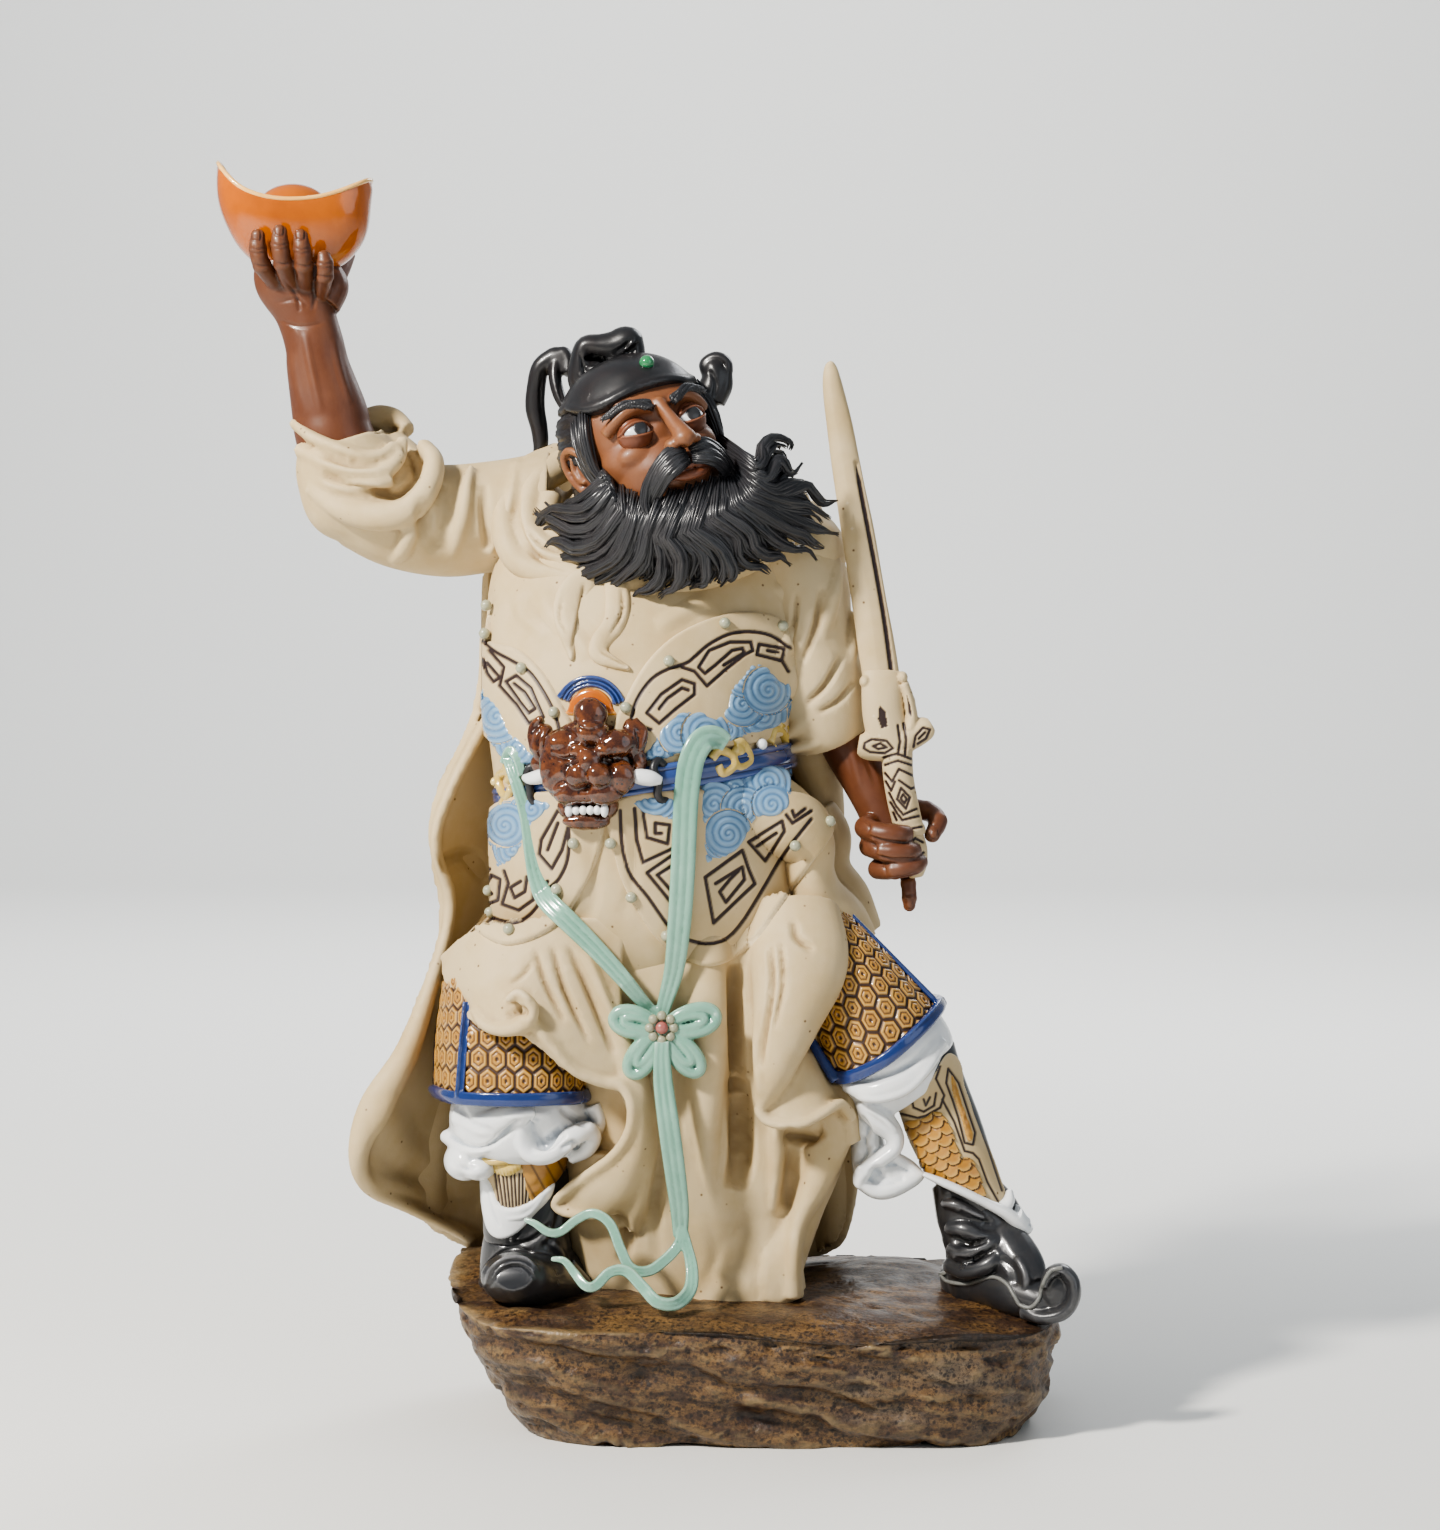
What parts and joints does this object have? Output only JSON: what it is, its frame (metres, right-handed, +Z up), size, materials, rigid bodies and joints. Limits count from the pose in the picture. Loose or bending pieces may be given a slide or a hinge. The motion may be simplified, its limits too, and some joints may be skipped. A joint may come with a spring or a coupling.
{
  "type": "glazed stoneware figurine",
  "caption": "Standing bearded swordsman in glazed stoneware on a rock base, one arm raised with a boat-shaped ingot, the other lowered with a sword.",
  "frame": {"origin": "middle of the rock's flat underside", "axes": "+Z up, -Y towards the viewer whom the figure faces, +X to that viewer's right"},
  "size_m": [0.4063, 0.1903, 0.5955],
  "materials": {
    "stoneware": "matt cream stoneware",
    "rock_glaze": "mottled brown, half matt",
    "brown_clay": "bare red-brown clay with a light sheen",
    "black_slip": "charcoal slip with a light sheen",
    "orange_glaze": "gloss",
    "celadon_glaze": "gloss",
    "cobalt_glaze": "gloss",
    "sky_glaze": "gloss",
    "white_glaze": "gloss",
    "amber_glaze": "half gloss over carved plates"
  },
  "bodies": {
    "root": {"figurine": "stoneware"}
  },
  "joints": []
}
